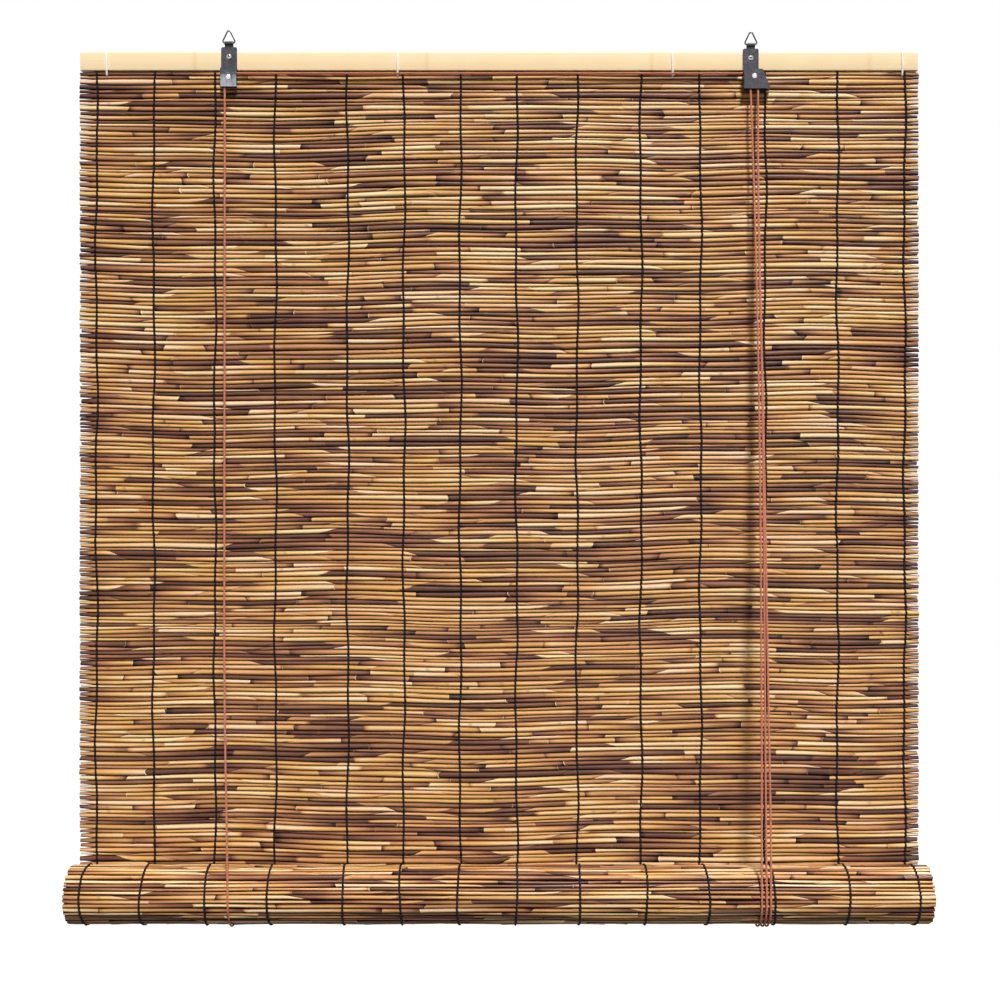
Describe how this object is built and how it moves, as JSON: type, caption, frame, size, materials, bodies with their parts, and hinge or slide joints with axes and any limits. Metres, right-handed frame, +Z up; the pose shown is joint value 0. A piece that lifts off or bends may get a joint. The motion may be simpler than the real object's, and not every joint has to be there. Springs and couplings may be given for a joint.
{
  "type": "reed roll up blind",
  "caption": "Hanging blind of woven reeds, with a bamboo head batten, ring hangers, a pulley and a cord lock, and its lower part rolled up in red lift cords.",
  "frame": {"origin": "middle of the head batten's top face", "axes": "+X along the batten to the right as seen from the room, +Y towards the window, +Z up"},
  "size_m": [1, 0.0818, 1.0552],
  "materials": {
    "bamboo": "pale planed bamboo",
    "reed": "smoked reed, golden to dark brown",
    "black_thread": "black twine",
    "white_tie": "white thread",
    "red_cord": "braided rust red cord",
    "zinc_steel": "dark speckled zinc",
    "bright_steel": "bright plated steel",
    "brass": "turned brass"
  },
  "bodies": {
    "headrail": {"head_batten": "bamboo", "reed_mat": "reed", "head_tie_1": "white_tie", "head_tie_2": "white_tie", "head_tie_3": "white_tie", "head_tie_4": "white_tie", "warp_thread_01": "black_thread", "warp_thread_02": "black_thread", "warp_thread_03": "black_thread", "warp_thread_04": "black_thread", "warp_thread_05": "black_thread", "warp_thread_06": "black_thread", "warp_thread_07": "black_thread", "warp_thread_08": "black_thread", "warp_thread_09": "black_thread", "warp_thread_10": "black_thread", "warp_thread_11": "black_thread", "warp_thread_12": "black_thread", "warp_thread_13": "black_thread", "warp_thread_14": "black_thread", "left_hanger_strap": "zinc_steel", "right_hanger_strap": "zinc_steel", "left_pulley_housing": "zinc_steel", "lock_housing": "zinc_steel", "left_strap_screw": "bright_steel", "right_strap_screw": "bright_steel", "left_pulley_pin": "bright_steel", "lock_pulley_pin": "bright_steel", "left_cord_staple": "bright_steel", "right_cord_staple": "bright_steel", "left_cord_knot": "red_cord", "right_cord_knot": "red_cord", "crossover_cord": "red_cord", "lock_cord_loop": "red_cord", "left_lift_cord": "red_cord", "right_lift_cord": "red_cord", "pull_cord_a": "red_cord", "pull_cord_b": "red_cord", "left_back_cord": "red_cord", "right_back_cord": "red_cord"},
    "left_ring": {"left_hang_ring": "bright_steel"},
    "right_ring": {"right_hang_ring": "bright_steel"},
    "left_wheel": {"left_pulley": "brass"},
    "lock_wheel": {"lock_pulley": "brass"},
    "lock_cam": {"lock_roller": "brass"},
    "slings": {"left_sling": "red_cord", "right_sling": "red_cord", "pull_tail_a": "red_cord", "pull_tail_b": "red_cord", "pull_cord_binding": "red_cord"},
    "roll": {"reed_roll": "reed", "roll_threads": "black_thread"}
  },
  "joints": [
    {"name": "roll_lift", "type": "slide", "parent": "headrail", "child": "slings", "axis": [0, 0, 1], "range_m": [0, 0.8293], "deforming": ["reed_mat", "warp_thread_01", "warp_thread_02", "warp_thread_03", "warp_thread_04", "warp_thread_05", "warp_thread_06", "warp_thread_07", "warp_thread_08", "warp_thread_09", "warp_thread_10", "warp_thread_11", "warp_thread_12", "warp_thread_13", "warp_thread_14", "left_lift_cord", "right_lift_cord", "pull_cord_a", "pull_cord_b", "left_back_cord", "right_back_cord"]},
    {"name": "roll_turn", "type": "hinge", "parent": "slings", "child": "roll", "pos_m": [0, -0.033, -0.9918], "axis": [1, 0, 0], "range_deg": [-1445, 5]},
    {"name": "left_pulley_turn", "type": "hinge", "parent": "headrail", "child": "left_wheel", "pos_m": [-0.321, -0.008, -0.0312], "axis": [0, 1, 0], "continuous": true},
    {"name": "lock_pulley_turn", "type": "hinge", "parent": "headrail", "child": "lock_wheel", "pos_m": [0.3019, -0.0098, -0.0312], "axis": [0, 1, 0], "continuous": true},
    {"name": "lock_roller_slide", "type": "slide", "parent": "headrail", "child": "lock_cam", "axis": [0.3905, 0, -0.9206], "range_m": [0, 0.0115]},
    {"name": "left_ring_swing", "type": "hinge", "parent": "headrail", "child": "left_ring", "pos_m": [-0.321, -0.0065, 0.01], "axis": [1, 0, 0], "range_deg": [-115, 165]},
    {"name": "right_ring_swing", "type": "hinge", "parent": "headrail", "child": "right_ring", "pos_m": [0.299, -0.0065, 0.0082], "axis": [1, 0, 0], "range_deg": [-115, 165]}
  ],
  "couplings": [
    {"joint": "roll_turn", "follows": "roll_lift", "rad_per_m": -30.303},
    {"joint": "left_pulley_turn", "follows": "roll_lift", "rad_per_m": 425.53},
    {"joint": "lock_pulley_turn", "follows": "roll_lift", "rad_per_m": 425.53}
  ]
}
